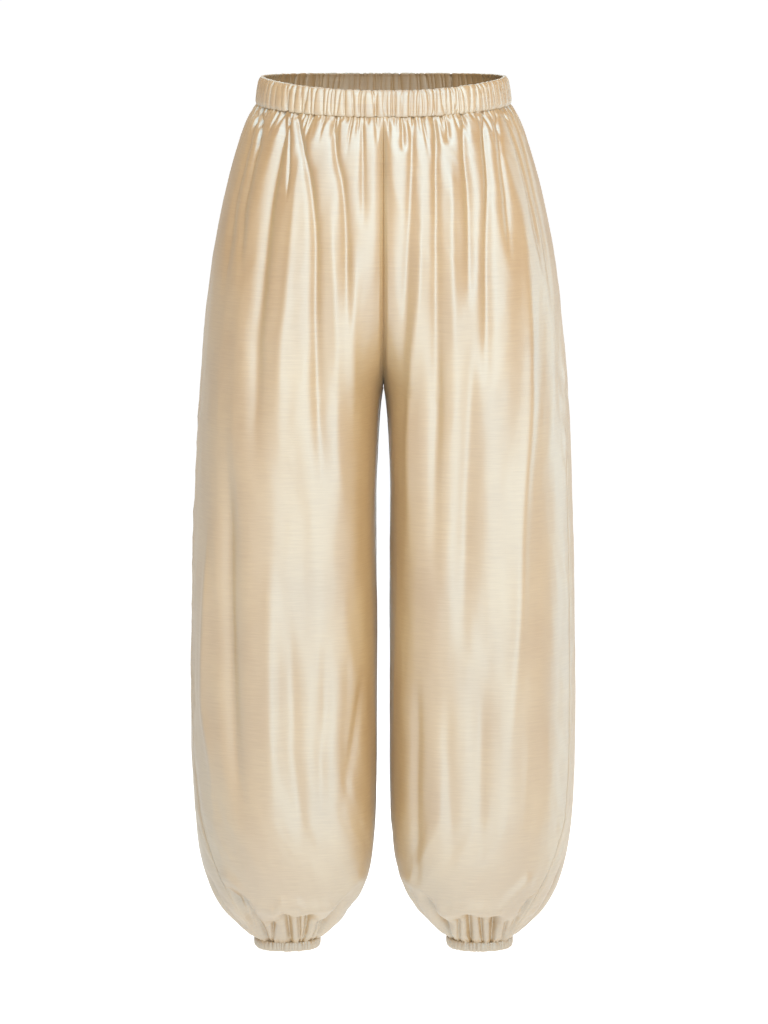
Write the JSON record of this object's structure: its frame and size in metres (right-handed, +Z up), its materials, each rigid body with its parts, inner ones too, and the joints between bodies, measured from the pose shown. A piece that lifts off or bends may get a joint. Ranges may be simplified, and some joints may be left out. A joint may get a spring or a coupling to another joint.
{
  "type": "silk balloon trousers",
  "caption": "Full-length silk balloon trousers in their worn shape, gathered to an elastic waistband and to elastic cuffs at the ankles.",
  "frame": {"origin": "middle of the waistband's ring, at half the band's height, where the wearer's waist holds the trousers up", "axes": "+X to the wearer's left, -Y to the front, +Z up"},
  "size_m": [0.4245, 0.2752, 0.9655],
  "materials": {
    "body_silk": "champagne silk satin with fine crosswise slubs",
    "casing_silk": "the same silk, shirred tightly on elastic"
  },
  "bodies": {
    "root": {"waistband": "casing_silk", "right_front": "body_silk", "left_front": "body_silk", "right_back": "body_silk", "left_back": "body_silk", "right_cuff": "casing_silk", "left_cuff": "casing_silk"}
  },
  "joints": []
}
